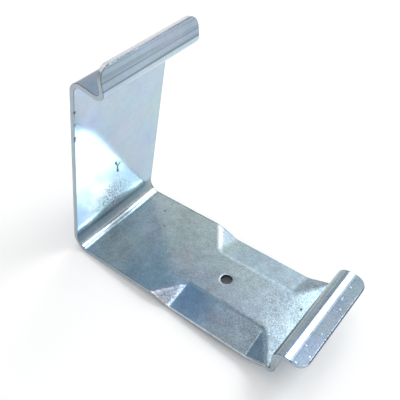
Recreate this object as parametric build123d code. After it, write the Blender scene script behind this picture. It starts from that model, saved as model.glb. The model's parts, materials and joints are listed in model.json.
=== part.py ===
from build123d import *
import os
from math import asin, cos, radians, sin, tan

# A clip bracket folded and pressed from one strip of zinc-plated spring steel: a floor with a
# screw hole, a wall that leans in over it, and a hook along the end of each. Millimetres.
# +X runs along the floor from the wall to the front hook, +Y across the strip, +Z up.
# The origin is the middle of the screw hole, on the underside of the floor.

# Strip
SHEET = 1.6                  # thickness of the sheet
STRIP_WIDTH = 40.0
SCREW_HOLE_DIAMETER = 4.2

# Floor, measured from the inside corner where its top would meet the wall
FLOOR_LENGTH = 84.3          # to the near face of the front riser
HOLE_FROM_CORNER = 53.4
CORNER_BEND_RADIUS = 4.0     # inside radius between floor and wall

# Wall, measured along itself from the same corner
WALL_HEIGHT = 75.2           # to the underside of the top shelf
WALL_ANGLE = 77.6            # degrees between floor and wall
SHELF_BEND_RADIUS = 3.0      # inside radius between wall and top shelf

# Hooks: each one rises square off its plate, turns over and runs on to a free edge
TOP_TURN_RADIUS = 1.8        # inside radius of the turn
TOP_HOOK_RISE = 12.3         # plate to the virtual corner of the turn
TOP_HOOK_REACH = 11.2        # virtual corner to the free edge
TOP_HOOK_DROOP = 15.0        # degrees by which the lip falls back towards its plate
FRONT_BEND_RADIUS = 1.0      # inside radius at the foot of the front riser
FRONT_TURN_RADIUS = 2.6
FRONT_HOOK_RISE = 10.75
FRONT_CREST_REACH = 6.6      # virtual corner of the turn to a crease along the lip
FRONT_CREST_DROOP = 3.6      # degrees by which the crest falls towards the crease
FRONT_CREASE_RADIUS = 1.4    # inside radius of that crease
FRONT_LIP_REACH = 4.3        # crease to the free edge
FRONT_LIP_DROOP = 7.8
LIP_CORNER_RADIUS = 4.0      # rounded corners of both free edges

# Wings: the two sides of the floor's front half, pressed down below the middle strip
WING_DEPTH = 2.6             # drop of the wing's outer edge
WING_WIDTH = 11.2            # outer edge to the middle of the bend that the wing hangs from
WING_START = 35.5            # where the outer edge leaves the floor, from the inside corner
WING_REAR = 43.6             # where the wing has its full depth
WING_FRONT = 74.8            # where it starts to rise again
WING_END = 82.6              # where it meets the floor again, at the foot of the riser
WING_BEND_RADIUS = 8.0       # bend along the wing
WING_BEND_AT_ENDS = 0.4      # what is left of that bend where the wing runs out at its edge
WING_CREASE_RADIUS = 1.2     # creases across the wing, on the side that is hollow
PRESSED_WIDTH = 13.0         # outer edge to where the sheet is flat again

HALF_WIDTH = STRIP_WIDTH / 2
LEAN = radians(WALL_ANGLE)
WALL_UP = Vector(cos(LEAN), 0, sin(LEAN))        # up along the wall
WALL_IN = Vector(sin(LEAN), 0, -cos(LEAN))       # square off its inner face
FLOOR_OUT = Vector(1, 0, 0)
FLOOR_UP = Vector(0, 0, 1)
THROUGH = Vector(0, 0, -SHEET)                   # from the floor's top to its underside
CORNER = Vector(-HOLE_FROM_CORNER, 0, SHEET)     # inside corner of floor and wall


def hook_points(along, inward, plate_length, rise, lip):
    """Foot and turn of one hook, then the ends of its lip's stretches, each a reach and a droop."""
    foot = CORNER + along * plate_length
    points = [foot, foot + inward * rise]
    for reach, droop in lip:
        angle = radians(droop)
        points.append(points[-1] + (along * cos(angle) - inward * sin(angle)) * reach)
    return points


def folded_strip():
    """The folded strip: one line down its inner face, thickened outwards, drawn across the width."""
    top_lip = [(TOP_HOOK_REACH, TOP_HOOK_DROOP)]
    front_lip = [(FRONT_CREST_REACH, FRONT_CREST_DROOP), (FRONT_LIP_REACH, FRONT_LIP_DROOP)]
    top_hook = hook_points(WALL_UP, WALL_IN, WALL_HEIGHT, TOP_HOOK_RISE, top_lip)
    front_hook = hook_points(FLOOR_OUT, FLOOR_UP, FLOOR_LENGTH, FRONT_HOOK_RISE, front_lip)
    bends = [
        TOP_TURN_RADIUS + SHEET,
        SHELF_BEND_RADIUS,
        CORNER_BEND_RADIUS,
        FRONT_BEND_RADIUS,
        FRONT_TURN_RADIUS + SHEET,
        FRONT_CREASE_RADIUS + SHEET,
    ]
    inner_line = FilletPolyline(*reversed(top_hook), CORNER, *front_hook, radius=bends)
    section = Face(inner_line.wire().offset_2d(SHEET, side=Side.RIGHT))
    return extrude(section, amount=HALF_WIDTH, both=True)


def lip_corners(strip):
    """The four short edges through the sheet at the ends of the two free edges."""
    through = strip.edges().filter_by(lambda edge: abs(edge.length - SHEET) < SHEET / 100)
    return through.sort_by(Axis.Z)[-2:] + through.sort_by(Axis.X)[-2:]


def screw_hole():
    """The round hole on the middle line of the floor."""
    return extrude(Circle(SCREW_HOLE_DIAMETER / 2), amount=SHEET)


def sheet_section(top_line):
    """A closed section across the floor's side, as thick as the sheet under its top line."""
    inner = top_line[0] @ 0
    outer = top_line[-1] @ 1
    low_line = [edge.moved(Location(THROUGH)) for edge in reversed(top_line)]
    return Wire(top_line + [Line(outer, outer + THROUGH)] + low_line + [Line(inner + THROUGH, inner)])


def flat_section(station):
    """The section where a wing runs out: still flat, its bend closed up against the outer edge."""
    x = CORNER.X + station
    across = [PRESSED_WIDTH, 2 * WING_BEND_AT_ENDS, WING_BEND_AT_ENDS, 0]
    points = [Vector(x, distance - HALF_WIDTH, SHEET) for distance in across]
    return sheet_section([Line(start, end) for start, end in zip(points, points[1:])])


def pressed_section(station):
    """The section at a wing's full depth: flat, round the bend, and down to the outer edge."""
    x = CORNER.X + station
    slope = asin(WING_DEPTH / WING_WIDTH)
    setback = WING_BEND_RADIUS * tan(slope / 2)
    outwards = Vector(0, -cos(slope), -sin(slope))
    inner = Vector(x, PRESSED_WIDTH - HALF_WIDTH, SHEET)
    bend = Vector(x, WING_WIDTH - HALF_WIDTH, SHEET)
    bend_start = bend + Vector(0, setback, 0)
    bend_end = bend + outwards * setback
    outer = bend + outwards * WING_WIDTH
    bend_arc = TangentArc(bend_start, bend_end, tangent=(0, -1, 0))
    return sheet_section([Line(inner, bend_start), bend_arc, Line(bend_end, outer)])


def pressed_side():
    """The near side of the floor with its wing: flat, two full sections, and flat again."""
    sections = [
        flat_section(WING_START),
        pressed_section(WING_REAR),
        pressed_section(WING_FRONT),
        flat_section(WING_END),
    ]
    return Solid.make_loft(sections, ruled=True)


def flat_side():
    """The flat metal that the near pressed side takes the place of."""
    corner = Pos(CORNER.X + WING_START, -HALF_WIDTH, 0)
    return corner * Box(WING_END - WING_START, PRESSED_WIDTH, SHEET, align=Align.MIN)


def wing_creases(strip, station):
    """The straight creases across both wings at one station, those of the underside first."""
    x = CORNER.X + station
    there = strip.edges().filter_by_position(Axis.X, x - SHEET / 10, x + SHEET / 10)
    return there.filter_by(lambda edge: edge.length > WING_WIDTH / 2).sort_by(Axis.Z)


def bracket():
    """The finished bracket, one piece of sheet."""
    strip = fillet(lip_corners(folded_strip()), LIP_CORNER_RADIUS)
    strip -= screw_hole()
    strip = strip - flat_side() + pressed_side()
    strip = strip - mirror(flat_side(), about=Plane.XZ) + mirror(pressed_side(), about=Plane.XZ)
    for station in (WING_REAR, WING_FRONT):
        strip = fillet(wing_creases(strip, station)[2:], WING_CREASE_RADIUS)
        strip = fillet(wing_creases(strip, station)[:2], WING_CREASE_RADIUS + SHEET)
    return strip


if __name__ == "__main__":
    os.makedirs("parts", exist_ok=True)
    export_step(bracket(), "parts/bracket.step")
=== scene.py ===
import json
import math

import bmesh
import bpy
from mathutils import Matrix, Vector


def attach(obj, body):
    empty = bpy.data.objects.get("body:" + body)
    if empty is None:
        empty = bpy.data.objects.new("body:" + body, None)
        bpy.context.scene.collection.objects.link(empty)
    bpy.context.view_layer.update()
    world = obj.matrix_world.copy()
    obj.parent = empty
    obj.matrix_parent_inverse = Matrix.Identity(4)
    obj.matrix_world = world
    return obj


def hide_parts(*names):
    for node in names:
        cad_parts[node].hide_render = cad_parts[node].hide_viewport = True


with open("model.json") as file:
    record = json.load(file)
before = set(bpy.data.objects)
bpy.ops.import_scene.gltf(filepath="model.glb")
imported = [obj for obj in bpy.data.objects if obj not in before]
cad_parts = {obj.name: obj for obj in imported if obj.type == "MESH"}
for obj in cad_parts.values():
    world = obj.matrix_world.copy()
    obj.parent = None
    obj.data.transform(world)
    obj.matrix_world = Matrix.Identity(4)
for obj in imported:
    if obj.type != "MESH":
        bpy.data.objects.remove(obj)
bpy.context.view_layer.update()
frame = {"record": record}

bl_info = {
    "name": "Folded clip bracket",
    "version": (1, 0, 0),
    "blender": (4, 5, 0),
    "location": "View3D > Sidebar > Clip bracket",
    "description": "Folds, presses and plates a sheet-metal clip bracket and sets it in a small studio",
    "category": "Add Mesh",
}

# +X runs along the floor from the wall to the front hook, +Y across the strip and +Z up. The origin is
# the middle of the screw hole, on the underside of the floor. Places are in millimetres where it is said.
MM = 0.001
NODE = "bracket"
SCREW_HOLE = next(mount for mount in frame["record"]["mounts"] if mount["name"] == "screw_hole")

# Rows and presses of the strip
FIRST_CORNER_ROW = math.radians(18)  # how far round a lip's rounded corner the first row lies
ROWS_BEFORE_WINGS = 4                # fine rows between the flat part of the floor and the wings
HOLE_ROOM = 1.3                      # half side of the square cleared for the screw hole, in hole radii
FRONT_SWELL = 5.0                    # halfway up its front slope, a wing's bend is wider by a quarter of this
REAR_SWELL = 4.0                     # a wing's bend has doubled at one part in this many of its rear slope
SHARP_EDGE = math.radians(50)        # edges that turn further than this are rounded

# Dark spots on the plating: their places in millimetres, their radius and how dark they are.
SPOTS = [
    (-39.3, 13.0, 1.6, 0.5, 0.6),
    (-34.1, 6.6, 1.6, 0.5, 0.6),
    (27.0, 4.6, 1.6, 0.5, 0.8),
    (-46.8, -1.4, 31.4, 0.7, 1.0),
    (-47.0, -1.0, 30.3, 0.6, 1.0),
    (-47.0, 0.6, 30.2, 0.5, 0.95),
    (-47.1, 0.2, 29.6, 0.5, 0.95),
    (-47.3, -0.4, 29.2, 0.6, 1.0),
    (-47.6, -0.5, 28.2, 0.6, 1.0),
    (-47.8, -0.3, 27.0, 0.7, 1.0),
    (-48.0, 0.0, 26.1, 0.5, 1.0),
    (-39.5, -19.7, 65.0, 0.6, 0.7),
    (-40.5, -19.8, 60.3, 0.5, 0.6),
    (-41.6, -19.7, 55.0, 0.7, 0.8),
    (-41.8, -19.8, 54.0, 0.5, 0.8),
]

# Marks of the die along the top hook's lip: distance from its turn in millimetres, half width, darkness.
DIE_MARKS = [(4.5, 0.14, 0.45), (6.9, 0.2, 0.22), (7.6, 0.1, 0.18)]

# Textures of the plating: how many lie in a metre, and how the die lines are drawn out across the strip.
SPECKS = 1500.0
DIE_LINES = 900.0
EDGE_WAVES = 400.0
ALONG_THE_DIE = (1.0, 0.012, 1.0)

# Round patches of the plating, in millimetres: their middle, where they start to fade and where they end.
PATCHES = {
    # Painted reflection: the floor behind the bend is made paler.
    "floor_light_patch": ((-42.0, -4.0, 1.6), 5.0, 20.0),
    "haze": ((-41.5, -15.0, 57.0), 1.0, 8.0),
    "floor_blush": ((-18.5, -1.0, 1.6), 1.0, 8.0),
    "wing_blush": ((5.0, -14.5, 0.3), 1.0, 6.0),
    # Painted highlight: a pale ring round the screw hole.
    "hole_rim_highlight": ((-0.15, -0.15, 1.6), 2.4, 2.6),
    # Painted shade: the wall of the screw hole is darkened in the cut edge's colour.
    "hole_wall": ((0.0, 0.0, 0.8), 2.6, 3.0),
    "wall_glow": ((-49.3, -8.0, 19.5), 5.0, 15.0),
    # Painted reflection: the wall above its foot is made paler.
    "wall_foot_reflection": ((-50.5, -3.0, 10.0), 5.0, 13.0),
    "specks": ((-50.4, -3.0, 15.0), 1.0, 14.0),
}

# The fold at the rear of the far wing: a point on it in millimetres, and the way across it.
FAR_HINGE = Vector((-17.5, 20.0, 0.0))
ACROSS_FAR_HINGE = (0.823, 0.568, 0.0)

# Cards round the bracket: where each one hangs, its radius as seen from the bracket, its brightness.
CARDS = [
    {"towards": (-0.35, 0.30, 0.89), "inner": 0.05, "outer": 0.17, "brightness": -0.5},
    {"towards": (-0.32, 0.74, 0.59), "inner": 0.04, "outer": 0.18, "brightness": 0.7},
    {"towards": (-0.04, 0.03, 1.00), "inner": 0.03, "outer": 0.10, "brightness": 5.0},
    {"towards": (-0.54, 0.07, 0.84), "inner": 0.04, "outer": 0.11, "brightness": 4.0},
    {"towards": (-0.67, 0.66, 0.34), "inner": 0.06, "outer": 0.16, "brightness": 0.35},
    {"towards": (0.88, 0.46, 0.05), "inner": 0.10, "outer": 0.32, "brightness": -0.3},
]

# Soft lights, in metres: the way to each one from the bracket, its width and its length.
LIGHT_DISTANCE = 0.7
KEY_LIGHT = {"towards": (0.36, 0.48, 0.80), "width": 0.22, "length": 0.24}
STRIP_LIGHT = {"towards": (-0.095, 0.62, 0.78), "width": 0.14, "length": 0.37}

# Camera, in millimetres: its lens, where it stands, and the ways to its right and straight ahead.
CAMERA_LENS = 51.755
CAMERA_SENSOR = 36.0
CAMERA_PLACE = Vector((74.659, -103.206, 156.370))
CAMERA_RIGHT = Vector((0.78373, 0.62067, -0.02308))
CAMERA_AHEAD = Vector((-0.46856, 0.56645, -0.67792))


# ---------------------------------------------------------------- settings


def length(name, description, millimetres):
    """A length setting, given in millimetres and kept in metres."""
    return bpy.props.FloatProperty(
        name=name,
        description=description,
        default=millimetres * MM,
        subtype="DISTANCE",
        unit="LENGTH",
        precision=5,
    )


def angle(name, description, degrees):
    """An angle setting, given in degrees and kept in radians."""
    return bpy.props.FloatProperty(
        name=name,
        description=description,
        default=math.radians(degrees),
        subtype="ANGLE",
        unit="ROTATION",
    )


def colour(name, description, rgb):
    """A colour setting."""
    return bpy.props.FloatVectorProperty(
        name=name,
        description=description,
        default=rgb,
        size=3,
        subtype="COLOR",
        min=0,
        max=1,
    )


def amount(name, description, value):
    """A plain number setting."""
    return bpy.props.FloatProperty(name=name, description=description, default=value, min=0)


def count(name, description, value):
    """A whole number setting."""
    return bpy.props.IntProperty(name=name, description=description, default=value, min=1)


class BracketSizes(bpy.types.PropertyGroup):
    """Lengths and angles of the folded strip, measured on the face that looks into the clip."""

    sheet: length("Sheet", "Thickness of the sheet", 1.6)
    width: length("Width", "Width of the strip", 40.0)
    corner_to_hole: length("Corner to hole", "Inside corner to the screw hole", 53.4)
    corner_radius: length("Corner bend", "Inside radius between floor and wall", 4.0)
    floor_length: length("Floor", "Inside corner to the front riser", 84.3)
    wall_height: length("Wall", "Inside corner to the top shelf, along the wall", 75.2)
    wall_angle: angle("Wall angle", "Angle between floor and wall", 77.6)
    shelf_radius: length("Shelf bend", "Inside radius between wall and top shelf", 3.0)
    turn_radius: length("Top hook turn", "Radius of the top hook on its inner face", 3.4)
    top_rise: length("Top hook rise", "Wall to the corner of the turn", 12.3)
    top_reach: length("Top hook reach", "Corner of the turn to the free edge", 11.2)
    top_droop: angle("Top hook droop", "How far the lip falls back towards the wall", 15.0)
    front_radius: length("Front bend", "Inside radius at the foot of the front riser", 1.0)
    front_rise: length("Front hook rise", "Floor to the corner of the turn", 10.75)
    crest_radius: length("Front hook turn", "Radius of the front hook on its inner face", 4.2)
    crest_reach: length("Front hook crest", "Corner of the turn to the crease along the lip", 6.6)
    crest_droop: angle("Crest droop", "How far the crest falls beyond the turn", 3.6)
    crease_radius: length("Lip crease", "Radius of the crease along the front lip", 2.0)
    front_reach: length("Front lip", "Crease to the free edge", 4.3)
    front_droop: angle("Front lip droop", "How far the lip falls", 7.8)
    lip_corner: length("Lip corners", "Radius of the corners at both free edges", 4.0)
    wing_depth: length("Wing depth", "Drop of a wing's outer edge", 2.6)
    wing_width: length("Wing width", "Outer edge to the bend along the wing", 11.2)
    wing_start: length("Wing start", "Inside corner to where the wing leaves the floor", 35.5)
    wing_rear: length("Wing rear", "Inside corner to the wing's full depth", 43.6)
    wing_front: length("Wing front", "Inside corner to where the wing rises again", 74.8)
    wing_end: length("Wing end", "Inside corner to where the wing meets the floor again", 82.6)
    wing_bend: length("Wing bend", "Radius of the bend along the wing", 8.0)
    wing_crease: length("Wing crease", "Radius of the creases across the wing", 1.2)
    edge_round: length("Sheet edge", "Rounding of the cut edges", 0.2)


class MeshSettings(bpy.types.PropertyGroup):
    """How finely the strip is divided."""

    columns: count("Columns", "Faces across the strip", 100)
    bend_rows: count("Bend rows", "Faces round each bend", 20)
    corner_rows: count("Corner rows", "Rows in the rounded corners of a lip", 6)
    fine_row: length("Fine rows", "Row spacing where the strip is pressed", 0.4)
    coarse_row: length("Coarse rows", "Row spacing where the strip is flat", 2.0)
    edge_segments: count("Edge segments", "Steps in the rounding of the cut edges", 3)


class FinishSettings(bpy.types.PropertyGroup):
    """Colours and textures of the plating."""

    zinc: colour("Zinc", "Colour of the bright zinc plate", (0.43, 0.555, 0.655))
    far_side: colour("Far side", "Colour of the floor along its far side", (0.54, 0.66, 0.69))
    far_wing: colour("Far wing", "Colour of the far wing", (0.41, 0.55, 0.63))
    blue_wing: colour("Blue wing", "Colour of the rear of the near wing", (0.41, 0.60, 0.76))
    stamped: colour("Stamped", "Colour of the floor's front, where it was pressed", (0.39, 0.52, 0.60))
    grey_wing: colour("Grey wing", "Colour of the front of the near wing", (0.36, 0.475, 0.54))
    front_lip: colour("Front lip", "Colour of the front hook", (0.34, 0.43, 0.56))
    lip_end: colour("Lip end", "Colour of the front hook's near end", (0.46, 0.60, 0.80))
    lip_blue: colour("Top lip", "Colour of the near end of the top hook's lip", (0.56, 0.67, 0.88))
    crest: colour("Crest", "Colour of the front hook's turn", (0.46, 0.55, 0.58))
    floor_light_patch: colour("Lighter", "Colour of the floor behind the bend", (0.63, 0.70, 0.73))
    haze: colour("Haze", "Colour of the stain at the wall's near edge", (0.38, 0.47, 0.72))
    facet: colour("Facet", "Colour of the rear slope of the near wing", (0.54, 0.57, 0.68))
    far_facet: colour("Far facet", "Colour of the rear slope of the far wing", (0.38, 0.50, 0.60))
    # Painted highlight: the colour painted on the wings' folds and on the near wing's outer edge.
    crease: colour("Crease", "Colour of the burnished folds and edge of the wings", (0.95, 0.97, 0.98))
    blush: colour("Blush", "Colour of the warm patches on the floor and the near wing", (0.50, 0.52, 0.60))
    wall_glow: colour("Wall glow", "Colour of the wall where it is bright", (0.88, 0.91, 0.90))
    # Painted reflection: the colour of the paler wall above its foot, over the painted shade below.
    wall_foot_reflection: colour("Wall foot", "Colour of the wall above its shaded foot", (0.46, 0.57, 0.58))
    # Painted highlight: the colour of the top hook's free edge.
    top_edge_highlight: colour("Top glint", "Colour of the top hook's free edge", (0.97, 0.98, 0.99))
    # Painted highlight: the colour of the pale ring round the screw hole.
    hole_rim_highlight: colour("Hole ring", "Colour of the glint round the screw hole", (0.74, 0.82, 0.88))
    wall_rim: colour("Wall rim", "Colour of the wall towards its top and near edge", (0.52, 0.60, 0.74))
    blue: colour("Blue bloom", "Bluish clouds in the plating", (0.38, 0.50, 0.66))
    green: colour("Green bloom", "Greenish clouds in the plating", (0.43, 0.59, 0.61))
    rose: colour("Rose bloom", "Pinkish clouds in the plating", (0.465, 0.53, 0.63))
    edge: colour("Cut edge", "Colour of the sheared edge", (0.37, 0.42, 0.45))
    cloud_size: length("Clouds", "Size of the clouds of tint", 16.0)
    cloud_strength: amount("Cloud strength", "How strong the clouds are", 0.4)
    crystal_size: length("Crystals", "Size of the crystals of the plating", 0.6)
    relief: length("Relief", "Height of the crystals on smooth sheet", 0.0025)
    stamped_relief: length("Stamped relief", "Extra height of the crystals on pressed sheet", 0.009)
    wave_size: length("Waves", "Size of the slow waves in the sheet", 20.0)
    wave_height: length("Wave height", "Height of the slow waves", 0.05)
    mottle: amount("Mottle", "How much the crystals differ in brightness", 1.2)
    die_lines: length("Die lines", "Height of the lines that the die left along the hooks", 0.004)
    fleck_spacing: length("Flecks", "Distance between the bright flecks of the pressed zones", 1.1)
    fleck_height: length("Fleck height", "Height of the bright flecks", 0.02)
    # Painted shade: how dark the band painted along the wall's foot is.
    band_darkness: amount("Darkness", "How dark the stain along the wall's foot is", 0.35)
    top_lip_darkening: amount("Top lip", "How much darker the top hook's lip is", 0.3)
    wall_roughness: amount("Roughness", "Roughness of the smooth plating", 0.15)
    floor_haze: amount("Floor haze", "Extra roughness of the floor", 0.08)
    edge_roughness: amount("Edge roughness", "Roughness of the sheared edge", 0.34)
    edge_relief: length("Edge relief", "Height of the tears in the sheared edge", 0.02)


class StudioSettings(bpy.types.PropertyGroup):
    """The floor that the bracket rests on, and the light round it."""

    paper_size: length("Paper", "Side of the pale floor", 3000.0)
    paper: colour("Paper colour", "Colour of the pale floor", (0.9, 0.9, 0.9))
    paper_lift: amount("Paper lift", "Brightness added to the floor where it is seen directly", 0.045)
    room: amount("Room", "Brightness of the room", 0.6)
    overhead: amount("Overhead", "Brightness that the ceiling adds", 0.3)
    window: amount("Window", "Brightness that the wide window on the far side adds", 0.78)
    key: amount("Key light", "Brightness of the square soft light overhead", 6.5)
    strip: amount("Strip light", "Brightness of the narrow soft light beside it", 2.5)


# ---------------------------------------------------------------- the folded strip


def profile(sizes):
    """Corners of the strip's inner face from the top free edge to the front one, and their radii."""
    corner = Vector((-sizes.corner_to_hole, sizes.sheet))
    up = Vector((math.cos(sizes.wall_angle), math.sin(sizes.wall_angle)))
    inwards = Vector((math.sin(sizes.wall_angle), -math.cos(sizes.wall_angle)))
    top_lip = up * math.cos(sizes.top_droop) - inwards * math.sin(sizes.top_droop)
    crest = Vector((math.cos(sizes.crest_droop), -math.sin(sizes.crest_droop)))
    front_lip = Vector((math.cos(sizes.front_droop), -math.sin(sizes.front_droop)))
    shelf = corner + up * sizes.wall_height
    top_turn = shelf + inwards * sizes.top_rise
    foot = corner + Vector((sizes.floor_length, 0))
    front_turn = foot + Vector((0, sizes.front_rise))
    crease = front_turn + crest * sizes.crest_reach
    corners = [
        top_turn + top_lip * sizes.top_reach,
        top_turn,
        shelf,
        corner,
        foot,
        front_turn,
        crease,
        crease + front_lip * sizes.front_reach,
    ]
    radii = [
        sizes.turn_radius,
        sizes.shelf_radius,
        sizes.corner_radius,
        sizes.front_radius,
        sizes.crest_radius,
        sizes.crease_radius,
    ]
    return corners, radii


def upright(point):
    """A point or direction of the profile, in space."""
    return Vector((point.x, 0, point.y))


def first_row(bm, start, width, columns):
    """A row of edges across the strip."""
    vert = bm.verts.new(upright(start) - Vector((0, width / 2, 0)))
    row = []
    for _ in range(columns):
        made = bmesh.ops.extrude_vert_indiv(bm, verts=[vert])
        vert = made["verts"][0]
        vert.co.y += width / columns
        row += made["edges"]
    return row


def next_row(bm, row, move):
    """Extrudes a row by one step along the strip."""
    made = bmesh.ops.extrude_edge_only(bm, edges=row)["geom"]
    verts = {item for item in made if isinstance(item, bmesh.types.BMVert)}
    bmesh.ops.translate(bm, verts=list(verts), vec=move)
    edges = [item for item in made if isinstance(item, bmesh.types.BMEdge)]
    return [edge for edge in edges if verts.issuperset(edge.verts)]


def run(bm, row, start, end, distances):
    """Carries the strip straight on from start to end, with a row at each of the distances."""
    along = (end - start).normalized()
    done = 0.0
    for distance in distances:
        row = next_row(bm, row, upright(along) * (distance - done))
        done = distance
    return row


def fold(bm, row, start, end, centre, steps):
    """Folds the strip round a centre from start to end."""
    turn = (start - centre).angle_signed(end - centre)
    spun = bmesh.ops.spin(
        bm,
        geom=row,
        cent=upright(centre),
        axis=(0, 1, 0),
        dvec=(0, 0, 0),
        angle=turn,
        steps=steps,
        use_merge=False,
    )
    return [item for item in spun["geom_last"] if isinstance(item, bmesh.types.BMEdge)]


def even_rows(span, spacing):
    """Distances of even rows along a straight run."""
    rows = max(1, round(span / spacing))
    return [span * (index + 1) / rows for index in range(rows)]


def lip_rows(span, mesh, radius):
    """Distances of rows along a lip from its free edge: close together in the rounded corners."""
    step = (math.pi / 2 - FIRST_CORNER_ROW) / mesh.corner_rows
    corner = [radius * (1 - math.cos(FIRST_CORNER_ROW + step * row)) for row in range(mesh.corner_rows)]
    return corner + [radius + distance for distance in [0.0] + even_rows(span - radius, mesh.coarse_row)]


def floor_rows(start, end, sizes, mesh):
    """Distances of rows along the floor: fine ones from the wings on, in step with the screw hole."""
    first_wing = sizes.wing_start - sizes.corner_to_hole
    fine_first = mesh.fine_row * math.floor(first_wing / mesh.fine_row - ROWS_BEFORE_WINGS)
    fine_count = math.floor((end.x - fine_first) / mesh.fine_row)
    flat = even_rows(fine_first - start.x, mesh.coarse_row)
    fine = [fine_first + mesh.fine_row * (index + 1) - start.x for index in range(fine_count)]
    return flat + fine + [end.x - start.x]


def strip_surface(sizes, mesh):
    """The inner face of the folded strip, as one open sheet."""
    corners, radii = profile(sizes)
    bm = bmesh.new()
    row = first_row(bm, corners[0], sizes.width, mesh.columns)
    start = corners[0]
    for index, radius in enumerate(radii):
        before, corner, after = corners[index:index + 3]
        arriving = (corner - before).normalized()
        leaving = (after - corner).normalized()
        turn = arriving.angle(leaving)
        bend_start = corner - arriving * radius * math.tan(turn / 2)
        bend_end = corner + leaving * radius * math.tan(turn / 2)
        centre = corner + (leaving - arriving).normalized() * (radius / math.cos(turn / 2))
        span = (bend_start - start).length
        if index == 0:
            distances = lip_rows(span, mesh, sizes.lip_corner)
        elif corner.y == before.y:
            distances = floor_rows(start, bend_start, sizes, mesh)
        else:
            distances = even_rows(span, mesh.coarse_row)
        row = run(bm, row, start, bend_start, distances)
        row = fold(bm, row, bend_start, bend_end, centre, mesh.bend_rows)
        start = bend_end
    span = (corners[-1] - start).length
    distances = [span - distance for distance in reversed(lip_rows(span, mesh, sizes.lip_corner)[:-1])]
    run(bm, row, start, corners[-1], distances + [span])
    bmesh.ops.remove_doubles(bm, verts=bm.verts, dist=mesh.fine_row / 1000)
    return bm


def round_lip(bm, edge, inwards, sizes):
    """Draws the strip in towards a free edge, so that both corners there are round."""
    half = sizes.width / 2
    radius = sizes.lip_corner
    for vert in bm.verts:
        inset = (vert.co - upright(edge)).dot(upright(inwards))
        if inset < radius:
            short = radius - math.sqrt(max(0.0, radius ** 2 - (radius - inset) ** 2))
            vert.co.y *= (half - short) / half


def soft_max(one, other, softness):
    """The larger of two numbers, rounded where they meet."""
    overlap = max(softness - abs(one - other), 0.0) / softness
    return max(one, other) + overlap ** 2 * softness / 4


def wing_share(x, out, sizes):
    """How far down a wing is pressed at a place, as a share of its depth. out is a share of its width."""
    slope = math.asin(sizes.wing_depth / sizes.wing_width)
    softness = sizes.wing_bend * math.tan(slope / 2) / sizes.wing_width
    rear_length = sizes.wing_rear - sizes.wing_start
    front_length = sizes.wing_end - sizes.wing_front
    crease_softness = sizes.wing_crease / rear_length
    rear = (x - sizes.wing_rear) / rear_length
    front = (sizes.wing_front - x) / front_length
    ends = soft_max(0.0, soft_max(-rear, -front, crease_softness), crease_softness)
    up_front = min(max(-front, 0.0), 1.0)
    up_rear = min(max(-REAR_SWELL * rear, 0.0), 1.0)
    softness *= 1 + FRONT_SWELL * up_front * (1 - up_front) + up_rear
    return soft_max(0.0, out - ends, softness)


def on_floor(place, sizes):
    """Whether a place lies on the flat face of the floor."""
    return abs(place.z - sizes.sheet) < sizes.sheet / 100


def press_wings(bm, sizes):
    """Presses both sides of the floor's front half down, each one turning about the bend it hangs from."""
    bend = sizes.width / 2 - sizes.wing_width
    for vert in bm.verts:
        if on_floor(vert.co, sizes):
            x = vert.co.x + sizes.corner_to_hole
            out = abs(vert.co.y) - bend
            drop = sizes.wing_depth * wing_share(x, out / sizes.wing_width, sizes)
            vert.co.z -= drop
            if out > drop:
                vert.co.y = math.copysign(bend + math.sqrt(out ** 2 - drop ** 2), vert.co.y)


def pierce(bm, sizes, mesh):
    """Cuts the screw hole out of the floor. Its ring is joined half a sheet low, and then lifted."""
    radius = SCREW_HOLE["dims"]["r_mm"] * MM
    half = mesh.fine_row * math.ceil(radius * HOLE_ROOM / mesh.fine_row)
    inside = []
    for face in bm.faces:
        centre = face.calc_center_median()
        if max(abs(centre.x), abs(centre.y)) < half and on_floor(centre, sizes):
            inside.append(face)
    kept = set(bm.faces) - set(inside)
    rim = [edge for face in inside for edge in face.edges if kept.intersection(edge.link_faces)]
    bmesh.ops.delete(bm, geom=inside, context="FACES")
    turned = Matrix.Translation((0, 0, sizes.sheet / 2)) @ Matrix.Rotation(math.pi / 4, 4, "Z")
    ring = bmesh.ops.create_circle(bm, segments=len(rim), radius=radius, matrix=turned)["verts"]
    ring_edges = {edge for vert in ring for edge in vert.link_edges}
    bmesh.ops.bridge_loops(bm, edges=rim + list(ring_edges))
    bmesh.ops.translate(bm, verts=ring, vec=(0, 0, sizes.sheet / 2))


class CLIP_OT_fold_strip(bpy.types.Operator):
    """Fold, press and pierce the strip, and give it its thickness"""

    bl_idname = "clip.fold_strip"
    bl_label = "Fold the strip"

    def execute(self, context):
        sizes = context.scene.clip_sizes
        mesh = context.scene.clip_mesh
        corners, _ = profile(sizes)
        bm = strip_surface(sizes, mesh)
        press_wings(bm, sizes)
        pierce(bm, sizes, mesh)
        round_lip(bm, corners[0], (corners[1] - corners[0]).normalized(), sizes)
        round_lip(bm, corners[-1], (corners[-2] - corners[-1]).normalized(), sizes)
        bmesh.ops.recalc_face_normals(bm, faces=bm.faces)
        floor_face = min(bm.faces, key=lambda face: face.calc_center_median().length)
        if floor_face.normal.z < 0:
            bmesh.ops.reverse_faces(bm, faces=bm.faces)
        for face in bm.faces:
            face.smooth = True
        data = bpy.data.meshes.new("folded_strip")
        bm.to_mesh(data)
        bm.free()
        strip = bpy.data.objects.new("folded_strip", data)
        context.scene.collection.objects.link(strip)
        add_thickness(strip, sizes, mesh)
        finish = context.scene.clip_finish
        grain, bloom = grain_group(), bloom_group()
        strip.data.materials.append(zinc_plate(sizes, finish, grain, bloom))
        strip.data.materials.append(cut_edge(finish, grain, bloom))
        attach(strip, "root")
        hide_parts(NODE)
        return {"FINISHED"}


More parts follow.
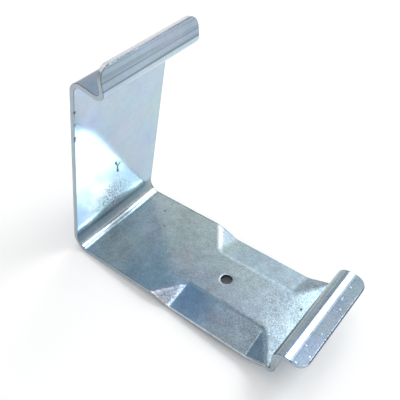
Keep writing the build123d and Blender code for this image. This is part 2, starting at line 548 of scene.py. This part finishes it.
def add_thickness(strip, sizes, mesh):
    """Gives the sheet its thickness and rounds its cut edges."""
    solid = strip.modifiers.new("Thickness", "SOLIDIFY")
    solid.thickness = sizes.sheet
    solid.offset = -1
    solid.use_even_offset = True
    solid.use_quality_normals = True
    solid.material_offset_rim = 1
    rounded = strip.modifiers.new("Cut edges", "BEVEL")
    rounded.width = sizes.edge_round
    rounded.segments = mesh.edge_segments
    rounded.limit_method = "ANGLE"
    rounded.angle_limit = SHARP_EDGE
    rounded.use_clamp_overlap = False
    rounded.material = 0
    even = strip.modifiers.new("Flat faces", "WEIGHTED_NORMAL")
    even.keep_sharp = True


# ---------------------------------------------------------------- nodes


def fill(tree, node, inputs):
    """Sets a node's inputs to values, or links them from sockets."""
    for name, value in inputs.items():
        if isinstance(value, bpy.types.NodeSocket):
            tree.links.new(value, node.inputs[name])
        else:
            node.inputs[name].default_value = value


def add(tree, kind, inputs=None, **properties):
    """A node with its properties and its inputs."""
    made = tree.nodes.new(kind)
    for name, value in properties.items():
        setattr(made, name, value)
    fill(tree, made, inputs or {})
    return made


def times(tree, *factors):
    """The product of sockets and numbers."""
    product = factors[0]
    for factor in factors[1:]:
        product = add(tree, "ShaderNodeMath", {0: product, 1: factor}, operation="MULTIPLY").outputs[0]
    return product


def sum_of(tree, *terms):
    """The sum of sockets and numbers."""
    total = terms[0]
    for term in terms[1:]:
        total = add(tree, "ShaderNodeMath", {0: total, 1: term}, operation="ADD").outputs[0]
    return total


def larger(tree, one, other):
    """The larger of two sockets or numbers."""
    return add(tree, "ShaderNodeMath", {0: one, 1: other}, operation="MAXIMUM").outputs[0]


def size_of(tree, value):
    """A number without its sign."""
    return add(tree, "ShaderNodeMath", {0: value}, operation="ABSOLUTE").outputs[0]


def rest_of(tree, share):
    """What a share leaves of one."""
    return add(tree, "ShaderNodeMath", {0: 1.0, 1: share}, operation="SUBTRACT").outputs[0]


def rise(tree, value, low, high):
    """Zero below low, one above high, and smooth between."""
    sockets = {"Value": value, "From Min": low, "From Max": high}
    return add(tree, "ShaderNodeMapRange", sockets, interpolation_type="SMOOTHSTEP").outputs["Result"]


def fall(tree, value, low, high):
    """One below low, zero above high, and smooth between."""
    return rest_of(tree, rise(tree, value, low, high))


def band(tree, value, middle, half, soft):
    """One within half a width of the middle, falling to zero over a soft margin."""
    distance = size_of(tree, sum_of(tree, value, -middle))
    return fall(tree, distance, half, half + soft)


def vector(tree, operation, one, other):
    """Two vectors, or a vector and a number for each axis, put together."""
    return add(tree, "ShaderNodeVectorMath", {0: one, 1: other}, operation=operation).outputs


def place_on_piece(tree, stretch=(1, 1, 1), shift=(0, 0, 0)):
    """Object coordinates, shifted and then stretched along each axis."""
    place = add(tree, "ShaderNodeTexCoord").outputs["Object"]
    return vector(tree, "MULTIPLY", vector(tree, "ADD", place, shift)[0], stretch)[0]


def in_millimetres(tree):
    """Object coordinates in millimetres."""
    return place_on_piece(tree, stretch=(1 / MM, 1 / MM, 1 / MM))


def near_to(tree, place, centre, inner, outer):
    """One at a place, falling to zero between two distances from it."""
    return fall(tree, vector(tree, "DISTANCE", place, centre)["Value"], inner, outer)


def along(tree, place, point, direction):
    """How far a place lies from a point along a direction."""
    return vector(tree, "DOT_PRODUCT", vector(tree, "ADD", place, -point)[0], direction)["Value"]


def noise(tree, place, scale, detail=2.0, roughness=0.5):
    """The value of a noise texture."""
    sockets = {"Vector": place, "Scale": scale, "Detail": detail, "Roughness": roughness}
    return add(tree, "ShaderNodeTexNoise", sockets).outputs[0]


def shades(rgb):
    """A colour setting as a socket takes it."""
    return (*rgb, 1.0)


def painted(tree, base, layers):
    """A colour with others laid over it in turn. Each layer is a mask and a colour setting."""
    for mask, rgb in layers:
        base = add(tree, "ShaderNodeMix", {0: mask, 6: base, 7: shades(rgb)}, data_type="RGBA").outputs[2]
    return base


def darkened(tree, base, marks):
    """A colour with marks taken out of it. Each mark is a mask and how dark it is."""
    kept = 1.0
    for mask, share in marks:
        kept = times(tree, rest_of(tree, times(tree, mask, share)), kept)
    return vector(tree, "MULTIPLY", base, kept)[0]


# ---------------------------------------------------------------- finish


def new_group(name, inputs, outputs):
    """An empty node group with named sockets. Inputs are given by their defaults."""
    group = bpy.data.node_groups.new(name, "ShaderNodeTree")
    for socket, default in inputs.items():
        kind = "NodeSocketColor" if isinstance(default, tuple) else "NodeSocketFloat"
        group.interface.new_socket(socket, in_out="INPUT", socket_type=kind).default_value = default
    for socket, kind in outputs.items():
        group.interface.new_socket(socket, in_out="OUTPUT", socket_type=kind)
    return group, group.nodes.new("NodeGroupInput").outputs, group.nodes.new("NodeGroupOutput")


def place_group(tree, group, inputs):
    """The outputs of a node group, placed in a material with its own values."""
    made = tree.nodes.new("ShaderNodeGroup")
    made.node_tree = group
    fill(tree, made, inputs)
    return made.outputs


def bloom_group():
    """Soft clouds of tint in the plating."""
    grey = (0.5, 0.5, 0.5, 1.0)
    inputs = {"Base": grey, "Blue": grey, "Green": grey, "Rose": grey, "Scale": 60.0, "Strength": 0.5}
    group, given, wanted = new_group("plating_bloom", inputs, {"Color": "NodeSocketColor"})
    shown = given["Base"]
    for index, tint in enumerate(("Blue", "Green", "Rose")):
        cloud = noise(group, place_on_piece(group, shift=(0.3 * index, 0.2, 0.1)), given["Scale"], 3.0, 0.6)
        share = times(group, rise(group, cloud, 0.42, 0.68), given["Strength"])
        sockets = {0: share, 6: shown, 7: given[tint]}
        shown = add(group, "ShaderNodeMix", sockets, data_type="RGBA").outputs[2]
    fill(group, wanted, {"Color": shown})
    return group


def grain_group():
    """The crystals of the plating: a fine relief, and how bright each one and each patch of them is."""
    inputs = {"Scale": 2000.0, "Relief": 0.000001, "Waves scale": 40.0, "Waves": 0.00002}
    outputs = {"Height": "NodeSocketFloat", "Shade": "NodeSocketFloat", "Broad shade": "NodeSocketFloat"}
    group, given, wanted = new_group("plating_grain", inputs, outputs)
    fine = noise(group, place_on_piece(group), given["Scale"], 2.0, 0.6)
    waves = noise(group, place_on_piece(group, shift=(0.5, 0.5, 0.5)), given["Waves scale"], 1.0, 0.4)
    height = sum_of(group, times(group, fine, given["Relief"]), times(group, waves, given["Waves"]))
    shade = noise(group, place_on_piece(group, shift=(0.7, 0.1, 0.4)), given["Scale"], 4.0, 0.8)
    broad = noise(group, place_on_piece(group), times(group, given["Scale"], 0.14), 3.0, 0.7)
    fill(group, wanted, {"Height": height, "Shade": shade, "Broad shade": broad})
    return group


def clouded(tree, bloom, finish, base, cloud_size, strength):
    """A colour with the plating's clouds of tint over it."""
    tints = {"Blue": shades(finish.blue), "Green": shades(finish.green), "Rose": shades(finish.rose)}
    clouds = {"Base": base, "Scale": 1 / cloud_size, "Strength": strength, **tints}
    return place_group(tree, bloom, clouds)["Color"]


def new_metal(name):
    """A new metal material and its node tree."""
    material = bpy.data.materials.new(name)
    material.use_nodes = True
    material.node_tree.nodes["Principled BSDF"].inputs["Metallic"].default_value = 1.0
    return material, material.node_tree


def finish_metal(tree, base, height, roughness):
    """Joins a colour, a height in metres and a roughness to the shader."""
    bump = add(tree, "ShaderNodeBump", {"Height": height, "Distance": 1.0})
    sockets = {"Base Color": base, "Roughness": roughness, "Normal": bump.outputs["Normal"]}
    fill(tree, tree.nodes["Principled BSDF"], sockets)


class Zones:
    """Places on the strip in millimetres, and masks of its zones: one on a zone and zero off it."""

    def __init__(self, tree, sizes):
        self.place = in_millimetres(tree)
        axes = add(tree, "ShaderNodeSeparateXYZ", {"Vector": self.place}).outputs
        self.x, self.y, self.z = axes["X"], axes["Y"], axes["Z"]
        self.side = size_of(tree, self.y)
        corners, _ = profile(sizes)
        lip = upright((corners[0] - corners[1]).normalized())
        inwards = (math.sin(sizes.wall_angle), 0, -math.cos(sizes.wall_angle))
        self.down_lip = along(tree, self.place, upright(corners[1]) / MM, lip)
        self.off_wall = along(tree, self.place, upright(corners[3]) / MM, inwards)
        self.find_parts(tree)
        self.find_wings(tree, sizes)
        self.find_foot(tree)

    def find_parts(self, tree):
        """The floor, the wall and the hooks."""
        x, y, z = self.x, self.y, self.z
        self.floor = fall(tree, z, 3, 5)
        self.wall = times(tree, rise(tree, z, 4, 7), fall(tree, x, -20, -10))
        self.inner_wall = rise(tree, self.off_wall, -1.2, -0.6)
        self.inside_clip = rise(tree, x, -31.6, -30.6)
        self.top_lip = times(tree, self.wall, rise(tree, self.down_lip, 4.0, 4.6), self.inside_clip)
        self.front = times(tree, rise(tree, z, 3, 5), rise(tree, x, 20, 30))
        self.front_turn = times(tree, self.front, fall(tree, x, 33.5, 34.5))
        # Masks of painted shade: the top of the riser, the front lip's crease and its free edge.
        self.riser_side = times(tree, self.front, fall(tree, x, 32.2, 33.2), rise(tree, z, 9.5, 10.5))
        self.front_crease = times(tree, self.front, band(tree, x, 37.18, 0.33, 0.15))
        self.front_edge = times(tree, self.front, rise(tree, x, 41.1, 41.5))
        self.front_flecks = times(tree, self.front, fall(tree, x, 40.5, 41.1))
        self.stamped = times(tree, self.floor, rise(tree, x, 4, 26))
        # Masks of painted shade: the floor's far edge, the side edges and the top lip's free edge.
        self.far_edge = times(tree, self.floor, rise(tree, y, 19.3, 19.6))
        self.outline = sum_of(tree, rise(tree, self.side, 19.5, 19.9), rise(tree, self.down_lip, 10.75, 11.1))

    def find_wings(self, tree, sizes):
        """The pressed wings, the slopes at their ends and their folds."""
        x, y, z = self.x, self.y, self.z
        bend = (sizes.width / 2 - sizes.wing_width) / MM
        past_bend = larger(tree, sum_of(tree, self.side, -bend), 0.0)
        fallen = times(tree, past_bend, sizes.wing_depth / sizes.wing_width)
        pressed = fall(tree, z, 1.48, 1.58)
        on_top = times(tree, pressed, rise(tree, sum_of(tree, z, fallen), 0.5, 1.0))
        # Painted highlight: a pale stripe along the far wing's rear hinge.
        from_hinge = along(tree, self.place, FAR_HINGE, ACROSS_FAR_HINGE)
        hinge = times(tree, band(tree, from_hinge, 0, 0.8, 0.6), band(tree, y, 14.8, 4.9, 0.9))
        self.far_hinge = times(tree, hinge, self.floor, rise(tree, z, 0.6, 1.0), 0.65)
        self.far_slope = times(tree, pressed, band(tree, x, -14.5, 3.5, 1), rise(tree, y, 8.4, 8.8))
        # Mask of painted shade: the far wing's crease at the front of its rear slope.
        self.far_crease = times(tree, pressed, band(tree, x, -9.9, 0.6, 0.5), rise(tree, y, 9, 10))
        self.near_slope = times(tree, pressed, band(tree, x, -14, 4, 0.4), fall(tree, y, -8.8, -8.4))
        self.near_crease = times(tree, on_top, band(tree, x, 21.4, 0.2, 0.15), fall(tree, y, -10.5, -9.5))
        self.near_edge = times(tree, on_top, fall(tree, y, -19.5, -19.1))
        self.near_wing = times(tree, self.floor, fall(tree, y, -11, -8))
        self.far_wing = times(tree, self.floor, rise(tree, y, 6, 11), rise(tree, x, -12, 0))
        on_front = times(tree, self.front, 0.05)
        self.coarse = sum_of(tree, self.stamped, on_front, times(tree, self.near_slope, 1.6))

    def find_foot(self, tree):
        """The wall's foot and the bend below it, with painted shade. The painted dark band there bulges up in
        the middle of the strip.
        """
        x, z = self.x, self.z
        bulge = band(tree, self.y, -1, 1, 16)
        height = sum_of(tree, z, times(tree, bulge, -5.2))
        foot = times(tree, band(tree, x, -50.8, 1.6, 0.8), self.inner_wall)
        # Painted shade: the wall just above the bend is darkened a little; it is also rougher.
        self.dull_shaded_bend = times(tree, foot, rise(tree, z, 2.6, 4.2), fall(tree, z, 6.0, 6.8))
        # Painted shade: a dark band along the wall's foot, where the wall mirrors its bend; the band is
        # rougher as well.
        self.dark_patch = times(tree, foot, rise(tree, z, 6.0, 6.8), fall(tree, height, 5.0, 9.5))
        # Painted shade: the middle of the bend's highlight is darkened, so that the highlight narrows there.
        self.dimmed_bend_highlight = times(tree, bulge, band(tree, x, -50.35, 0.85, 0.2), band(tree, z, 2.4, 0.9, 0.2))
        self.by_bend = times(tree, self.floor, rise(tree, x, -48.3, -47.5), fall(tree, x, -42, -33))


def plate_colour(tree, zones, finish):
    """The colours of the plating, one zone laid over another. Some zones are painted highlight and painted
    reflection.
    """
    x, y, z = zones.x, zones.y, zones.z
    patch = {name: near_to(tree, zones.place, *PATCHES[name]) for name in PATCHES}
    blush = times(tree, sum_of(tree, patch["floor_blush"], patch["wing_blush"]), 0.6)
    # Painted highlight: the near wing's front crease and outer edge and the far wing's rear hinge are painted
    # near white.
    highlighted = sum_of(tree, zones.near_crease, zones.near_edge, zones.far_hinge)
    towards_rim = sum_of(tree, rise(tree, z, 50, 75), fall(tree, y, -18, -8))
    layers = [
        (times(tree, zones.floor, rise(tree, y, -12, 16)), finish.far_side),
        (zones.stamped, finish.stamped),
        (zones.far_wing, finish.far_wing),
        (times(tree, zones.near_wing, rise(tree, x, 0, 12)), finish.grey_wing),
        (times(tree, zones.near_wing, band(tree, x, -4, 5, 10)), finish.blue_wing),
        (zones.front, finish.front_lip),
        (times(tree, zones.front, fall(tree, y, -14, -4)), finish.lip_end),
        (zones.front_turn, finish.crest),
        # Painted reflection: a paler floor behind the bend.
        (patch["floor_light_patch"], finish.floor_light_patch),
        (patch["haze"], finish.haze),
        (times(tree, zones.near_slope, 0.7), finish.facet),
        (zones.far_slope, finish.far_facet),
        (blush, finish.blush),
        (highlighted, finish.crease),
        # Painted highlight: the pale ring round the screw hole.
        (patch["hole_rim_highlight"], finish.hole_rim_highlight),
        (times(tree, zones.inner_wall, patch["wall_glow"]), finish.wall_glow),
        # Painted reflection: the paler wall above its foot.
        (times(tree, zones.inner_wall, patch["wall_foot_reflection"]), finish.wall_foot_reflection),
        (times(tree, zones.wall, towards_rim, 0.6), finish.wall_rim),
        (times(tree, zones.top_lip, fall(tree, y, -10, 6)), finish.lip_blue),
    ]
    return painted(tree, shades(finish.zinc), layers)


def plate_height(tree, zones, finish, crystals, die_lines):
    """The relief of the plating in metres: crystals, die lines along the hooks, and bright flecks."""
    on_lips = sum_of(tree, zones.top_lip, times(tree, zones.front, 0.1))
    dies = times(tree, die_lines, on_lips, finish.die_lines)
    sockets = {"Vector": place_on_piece(tree), "Scale": 1 / finish.fleck_spacing}
    cells = add(tree, "ShaderNodeTexVoronoi", sockets).outputs
    chosen = add(tree, "ShaderNodeSeparateXYZ", {"Vector": cells["Color"]}).outputs["X"]
    flecks = times(tree, fall(tree, cells["Distance"], 0.08, 0.26), rise(tree, chosen, 0.45, 0.47))
    flecked = sum_of(tree, zones.front_flecks, zones.stamped)
    return sum_of(tree, crystals["Height"], dies, times(tree, flecks, flecked, finish.fleck_height))


def plate_marks(tree, zones, finish, crystals, die_lines):
    """The darkening of the plating, each part with how dark it is: painted shade at the wall's foot, the
    bend, the edges, the creases and the riser, and darker crystals, a darker top lip, specks, spots and die
    marks.
    """
    specks = rise(tree, noise(tree, place_on_piece(tree), SPECKS, 2.0, 0.7), 0.50, 0.56)
    specked = times(tree, zones.wall, zones.inner_wall, near_to(tree, zones.place, *PATCHES["specks"]))
    marks = [
        # Painted shade: the dark band along the wall's foot, the darker bend below it and the dimmed middle
        # of the bend's highlight.
        (zones.dark_patch, finish.band_darkness),
        (zones.dull_shaded_bend, 0.2),
        (zones.dimmed_bend_highlight, 0.78),
        (times(tree, specked, specks), 0.8),
        # Painted shade, down to the riser: dark lines along the side edges and free edges and the floor's far
        # edge, and darker creases and riser top.
        (zones.outline, 0.3),
        (zones.far_crease, 0.2),
        (zones.far_edge, 0.4),
        (zones.front_crease, 0.6),
        (zones.front_edge, 0.6),
        (zones.riser_side, 0.25),
        (times(tree, zones.near_slope, rise(tree, crystals["Shade"], 0.46, 0.56)), 0.6),
        # The whole top lip is darkened.
        (zones.top_lip, finish.top_lip_darkening),
        (times(tree, zones.top_lip, rise(tree, die_lines, 0.5, 0.62)), 0.22),
    ]
    for *centre, radius, share in SPOTS:
        marks.append((near_to(tree, zones.place, centre, radius * 0.7, radius), share))
    for middle, half, share in DIE_MARKS:
        mark = band(tree, zones.down_lip, middle, half, 0.2)
        marks.append((times(tree, zones.wall, mark, zones.inside_clip), share))
    return marks


def zinc_plate(sizes, finish, grain, bloom):
    """Bright zinc plate on the faces of the sheet."""
    material, tree = new_metal("zinc_plate")
    zones = Zones(tree, sizes)
    smooth = times(tree, sum_of(tree, 1.0, times(tree, zones.front, -0.5)), finish.relief)
    inputs = {
        "Scale": 1 / finish.crystal_size,
        "Relief": sum_of(tree, times(tree, zones.coarse, finish.stamped_relief), smooth),
        "Waves scale": 1 / finish.wave_size,
        "Waves": finish.wave_height,
    }
    crystals = place_group(tree, grain, inputs)
    die_lines = noise(tree, place_on_piece(tree, stretch=ALONG_THE_DIE), DIE_LINES, 2.0, 0.6)
    height = plate_height(tree, zones, finish, crystals, die_lines)

    on_wall = times(tree, zones.wall, 0.5)
    strength = sum_of(tree, on_wall, times(tree, zones.top_lip, -0.4), finish.cloud_strength)
    base = plate_colour(tree, zones, finish)
    base = clouded(tree, bloom, finish, base, finish.cloud_size, strength)
    unevenness = sum_of(
        tree,
        times(tree, zones.floor, 0.8),
        times(tree, zones.coarse, 0.5),
        times(tree, zones.front, 0.5),
        0.35,
    )
    shade = sum_of(tree, crystals["Shade"], times(tree, crystals["Broad shade"], 0.5), -0.75)
    brightness = sum_of(tree, times(tree, shade, unevenness, finish.mottle), 1.0)
    base = vector(tree, "MULTIPLY", base, brightness)[0]
    base = darkened(tree, base, plate_marks(tree, zones, finish, crystals, die_lines))

    roughness = sum_of(
        tree,
        times(tree, zones.floor, finish.floor_haze),
        times(tree, zones.front, -0.07),
        times(tree, zones.front_turn, 0.15),
        times(tree, zones.dark_patch, 0.35),
        times(tree, zones.dull_shaded_bend, 0.25),
        times(tree, zones.by_bend, 0.15),
        finish.wall_roughness,
    )
    finish_metal(tree, base, height, roughness)
    return material


def cut_edge(finish, grain, bloom):
    """The sheared edge of the sheet, plated too but torn and duller."""
    material, tree = new_metal("cut_edge")
    place = in_millimetres(tree)
    up = add(tree, "ShaderNodeSeparateXYZ", {"Vector": place}).outputs["Z"]
    base = clouded(tree, bloom, finish, shades(finish.edge), finish.cloud_size / 3, 0.3)
    # Painted highlight: the top hook's free edge is painted near white.
    base = painted(tree, base, [(rise(tree, up, 82, 82.5), finish.top_edge_highlight)])
    # Painted shade: the wall of the screw hole is darkened.
    base = darkened(tree, base, [(near_to(tree, place, *PATCHES["hole_wall"]), 0.75)])
    inputs = {"Scale": 0.7 / finish.crystal_size, "Relief": finish.edge_relief, "Waves scale": EDGE_WAVES}
    height = place_group(tree, grain, inputs)["Height"]
    finish_metal(tree, base, height, finish.edge_roughness)
    return material


# ---------------------------------------------------------------- studio


class CLIP_OT_set_studio(bpy.types.Operator):
    """Lay the pale floor, and set the lights and the camera"""

    bl_idname = "clip.set_studio"
    bl_label = "Set the studio"

    def execute(self, context):
        studio = context.scene.clip_studio
        lay_paper(context, studio, context.scene.clip_sizes)
        light_room(context, studio)
        hang_light(context, "key_light", KEY_LIGHT, studio.key)
        hang_light(context, "strip_light", STRIP_LIGHT, studio.strip)
        place_camera(context)
        context.scene.view_settings.view_transform = "Standard"
        return {"FINISHED"}


def lay_paper(context, studio, sizes):
    """The floor, sloped as the bracket stands on it: on the corner bend and on the back of its wings."""
    bend_x = -sizes.corner_to_hole + sizes.corner_radius / math.tan(sizes.wall_angle / 2)
    wing_x = sizes.wing_rear - sizes.corner_to_hole
    slope = math.atan2(sizes.wing_depth, wing_x - bend_x)
    gap = 0.05 * MM
    bm = bmesh.new()
    bmesh.ops.create_grid(bm, x_segments=1, y_segments=1, size=studio.paper_size / 2)
    bmesh.ops.rotate(bm, verts=bm.verts, cent=(0, 0, 0), matrix=Matrix.Rotation(slope, 3, "Y"))
    bmesh.ops.translate(bm, verts=bm.verts, vec=(wing_x, 0, -sizes.wing_depth - gap))
    data = bpy.data.meshes.new("paper")
    bm.to_mesh(data)
    bm.free()
    paper = bpy.data.objects.new("paper", data)
    context.scene.collection.objects.link(paper)
    paper.data.materials.append(paper_sheet(studio))


def paper_sheet(studio):
    """Pale paper that looks white, also in a mirror, apart from the shade under the screw hole."""
    material = bpy.data.materials.new("paper")
    material.use_nodes = True
    tree = material.node_tree
    rays = add(tree, "ShaderNodeLightPath").outputs
    mirrored = larger(tree, rays["Is Glossy Ray"], rays["Is Transmission Ray"])
    seen = larger(tree, rays["Is Camera Ray"], mirrored)
    from_hole = near_to(tree, in_millimetres(tree), (0, 0, 0), 12, 30)
    seen = times(tree, seen, rest_of(tree, from_hole))
    white = (1, 1, 1)
    sockets = {
        "Base Color": painted(tree, shades(studio.paper), [(seen, white)]),
        "Roughness": 0.9,
        "Specular IOR Level": 0.0,
        "Emission Color": shades(white),
        "Emission Strength": times(tree, seen, studio.paper_lift),
    }
    fill(tree, tree.nodes["Principled BSDF"], sockets)
    return material


def light_room(context, studio):
    """The room: an even grey, paler overhead, with a wide window, white cards and dark flags."""
    world = bpy.data.worlds.new("room")
    world.use_nodes = True
    tree = world.node_tree
    direction = add(tree, "ShaderNodeTexCoord").outputs["Generated"]
    axes = add(tree, "ShaderNodeSeparateXYZ", {"Vector": direction}).outputs
    overhead = times(tree, rise(tree, axes["Z"], 0.2, 0.9), rise(tree, axes["X"], -0.35, 0.1))
    window = times(tree, rise(tree, axes["Y"], 0.64, 0.92), rise(tree, axes["X"], -0.45, -0.1))
    light = [studio.room, times(tree, overhead, studio.overhead), times(tree, window, studio.window)]
    for card in CARDS:
        share = near_to(tree, direction, card["towards"], card["inner"], card["outer"])
        light.append(times(tree, share, card["brightness"]))
    sockets = {"Strength": sum_of(tree, *light), "Color": (1, 1, 1, 1)}
    fill(tree, tree.nodes["Background"], sockets)
    context.scene.world = world


def turned_to(right, ahead):
    """The turn that points a lamp or a camera straight ahead, with its right side to the right."""
    up = right.cross(ahead).normalized()
    right = ahead.cross(up).normalized()
    return Matrix((right, up, -ahead)).transposed().to_quaternion()


def hang_light(context, name, light, brightness):
    """A rectangular soft light that faces the bracket."""
    lamp = bpy.data.lights.new(name, "AREA")
    lamp.shape = "RECTANGLE"
    lamp.size = light["width"]
    lamp.size_y = light["length"]
    lamp.energy = brightness * math.pi * light["width"] * light["length"]
    hung = bpy.data.objects.new(name, lamp)
    towards = Vector(light["towards"]).normalized()
    hung.location = towards * LIGHT_DISTANCE
    hung.rotation_mode = "QUATERNION"
    hung.rotation_quaternion = turned_to(Vector((0, 1, 0)).cross(towards).normalized(), -towards)
    context.scene.collection.objects.link(hung)


def place_camera(context):
    """The camera, above the near side of the open end."""
    data = bpy.data.cameras.new("camera")
    data.lens = CAMERA_LENS
    data.sensor_width = CAMERA_SENSOR
    camera = bpy.data.objects.new("camera", data)
    camera.location = CAMERA_PLACE * MM
    camera.rotation_mode = "QUATERNION"
    camera.rotation_quaternion = turned_to(CAMERA_RIGHT, CAMERA_AHEAD.normalized())
    context.scene.collection.objects.link(camera)
    context.scene.camera = camera


# ---------------------------------------------------------------- add-on


class CLIP_PT_sidebar(bpy.types.Panel):
    """The steps and the sizes, in the sidebar"""

    bl_label = "Clip bracket"
    bl_idname = "CLIP_PT_sidebar"
    bl_space_type = "VIEW_3D"
    bl_region_type = "UI"
    bl_category = "Clip bracket"

    def draw(self, context):
        for group in SETTINGS:
            settings = getattr(context.scene, group)
            box = self.layout.box()
            for name in settings.__annotations__:
                box.prop(settings, name)
        for step in STEPS:
            self.layout.operator(step.bl_idname)


SETTINGS = {
    "clip_sizes": BracketSizes,
    "clip_mesh": MeshSettings,
    "clip_finish": FinishSettings,
    "clip_studio": StudioSettings,
}
STEPS = [CLIP_OT_fold_strip, CLIP_OT_set_studio]
CLASSES = [*SETTINGS.values(), *STEPS, CLIP_PT_sidebar]


def register():
    """Makes the settings, steps and panel known."""
    for item in CLASSES:
        bpy.utils.register_class(item)
    for name, group in SETTINGS.items():
        setattr(bpy.types.Scene, name, bpy.props.PointerProperty(type=group))


def unregister():
    """Takes them away again."""
    for name in SETTINGS:
        delattr(bpy.types.Scene, name)
    for item in reversed(CLASSES):
        bpy.utils.unregister_class(item)


def main():
    """Runs the steps in order."""
    register()
    bpy.ops.clip.fold_strip()
    bpy.ops.clip.set_studio()


if __name__ == "__main__":
    main()
